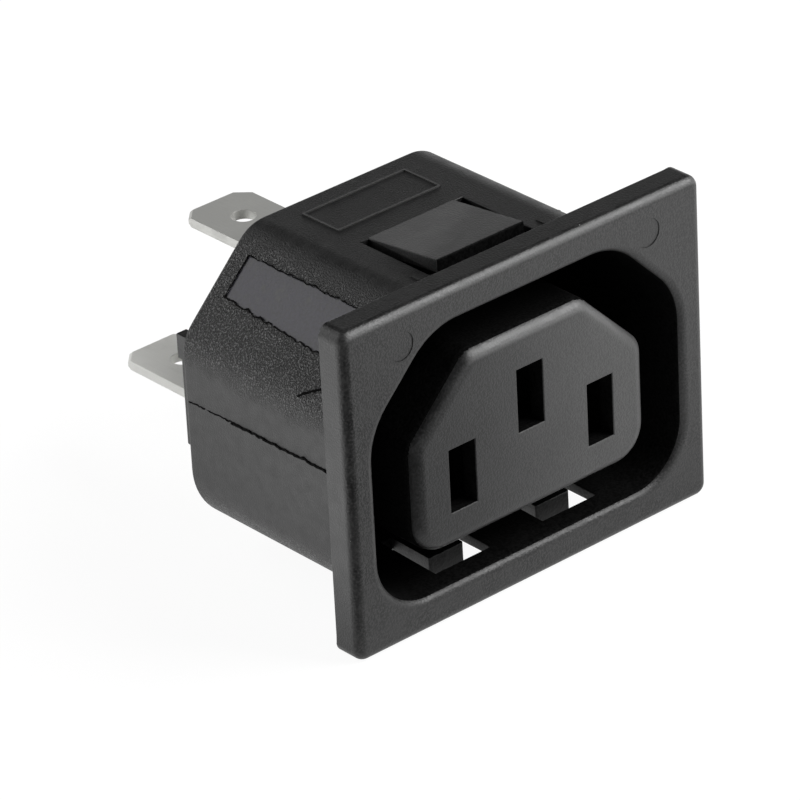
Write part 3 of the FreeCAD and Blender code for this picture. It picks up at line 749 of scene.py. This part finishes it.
# %% Finish the cover and the contacts
ROOM_MM = 0.3
finished = {"housing": (housing, "moulded_plastic")}
for node, width_mm, finish, slot in [
    ("rear_cover", 0.08, cover_finish, "cover_plastic"),
    ("earth_contact", 0.05, plating_painted_darker, "plated_brass"),
    ("line_contact", 0.05, plating_painted_brighter, "plated_brass"),
    ("neutral_contact", 0.05, plating_painted_brighter, "plated_brass"),
]:
    mesh = merged_copy(node)
    print(node, "edges softened:", soften(mesh, width_mm, ROOM_MM))
    finished[node] = (finish_mesh(mesh, node + "_finished", [finish]), slot)

# %% [markdown]
# ## The studio
# The part stands on a white sheet under a dim tent, with a bright soft box in front on the right, a
# broad one behind on the left, and an open, dark side at the front left. The sheet is white to the
# camera. Lamps alone could light the part, but black plastic takes its shape from what it mirrors,
# so reflections see the sheet brighter where the boxes stand and darker at the open side. A part of
# the sheet is real diffuse white, so it keeps a faint shadow.

# %% The white sheet
FLOOR_HALF = 3.0
FLOOR_GAP = 0.02 * MM
low = cad_box[0][2] - FLOOR_GAP
corners = [(-FLOOR_HALF, -FLOOR_HALF), (FLOOR_HALF, -FLOOR_HALF),
           (FLOOR_HALF, FLOOR_HALF), (-FLOOR_HALF, FLOOR_HALF)]
floor_mesh = bpy.data.meshes.new("white_sheet")
floor_mesh.from_pydata([(x, y, low) for x, y in corners], [], [(0, 1, 2, 3)])
floor = bpy.data.objects.new("white_sheet", floor_mesh)
bpy.context.scene.collection.objects.link(floor)
print("sheet at", round(low / MM, 2), "mm")

# %% What the sheet shows
SHEET_GLOW = 0.88
SHEET_WHITE = 0.92
WHITE_TO_CAMERA = 1.06
OPEN_SIDE = (-0.645, -0.764)


def ray(start, kind):
    """1 for rays of this kind, 0 for others."""
    return start.node("ShaderNodeLightPath", out="Is %s Ray" % kind)


sheet, start, place = new_finish("white_sheet")
# Spans are in millimetres from the part's middle, and shares are of the sheet's own white.
x, y = in_mm(place, "XY")
reach = start.maths("SQRT", x * x + y * y)
to_open_side = start.maths("DIVIDE", OPEN_SIDE[0] * x + OPEN_SIDE[1] * y, reach)
dark_side = to_open_side.rise(0.58, 0.88) * reach.rise(15.0, 25.0)
right_pool = x.rise(0.0, 50.0) * (0.0 - y).rise(0.0, 20.0)
left_pool = (0.0 - x).rise(18.0, 30.0) * y.rise(-5.0, 10.0) * (1.0 - 0.4 * y.rise(16.0, 30.0))
mirrored = 1.0 + 0.55 * right_pool + 1.35 * left_pool - 0.95 * dark_side
camera_sees = ray(start, "Camera")
strength = mirrored + camera_sees * (WHITE_TO_CAMERA - mirrored)
seen = start.maths("MAXIMUM", camera_sees, ray(start, "Glossy"))
seen = start.maths("MAXIMUM", seen, ray(start, "Transmission"))
white = start.node("ShaderNodeBsdfDiffuse", None, {"Color": grey(SHEET_WHITE)})
glow = start.node("ShaderNodeEmission", None, {"Color": strength, "Strength": 1.0})
mixed = start.node("ShaderNodeMixShader", None, {0: seen * SHEET_GLOW, 1: white, 2: glow})
end_tree(start, mixed)
floor_mesh.materials.append(sheet)
print("sheet finish:", sheet.name)

# %% The tent and its soft boxes
TENT_LEVELS = [(0.0, 1.2), (0.2, 0.6), (0.3, 0.3), (0.4, 0.1), (0.5, 0.06), (1.0, 0.06)]

world = bpy.data.worlds.new("tent")
bpy.context.scene.world = world
world.use_nodes = True
world.node_tree.nodes.clear()
start = Wire(world.node_tree)
height = start.node("ShaderNodeTexCoord", out="Generated").part("Z")
stops = [(place, grey(bright)) for place, bright in TENT_LEVELS]
tent = start.node("ShaderNodeValToRGB", {"stops": stops}, {0: height})
sky = ray(start, "Camera").blend(tent, grey(1.0))
end_tree(start, start.node("ShaderNodeBackground", None, {"Color": sky}), "ShaderNodeOutputWorld")


def soft_box(name, direction, distance, size, radiance):
    """A square area lamp that looks at the part and is as bright as white times radiance."""
    lamp = bpy.data.lights.new(name, "AREA")
    lamp.size = size
    lamp.energy = radiance * math.pi * size * size
    placed = bpy.data.objects.new(name, lamp)
    aim = Vector(direction).normalized()
    facing_part = aim.to_track_quat("Z", "Y").to_matrix().to_4x4()
    placed.matrix_world = Matrix.Translation(aim * distance) @ facing_part
    bpy.context.scene.collection.objects.link(placed)
    print(name, "of", size, "m at", distance, "m")


soft_box("front_right_box", (0.566, -0.478, 0.671), distance=0.5, size=0.32, radiance=8.0)
soft_box("back_left_box", (-0.478, 0.671, 0.567), distance=0.8, size=0.6, radiance=1.85)

# %% [markdown]
# ## Handing the pieces over
# Each finished copy stands for its own CAD node, which is hidden, and rides on the one body.

# %% Replace the nodes and close
for node, (piece, slot) in finished.items():
    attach(piece, "root")
    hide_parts(node)
bpy.context.scene.view_settings.view_transform = "Standard"
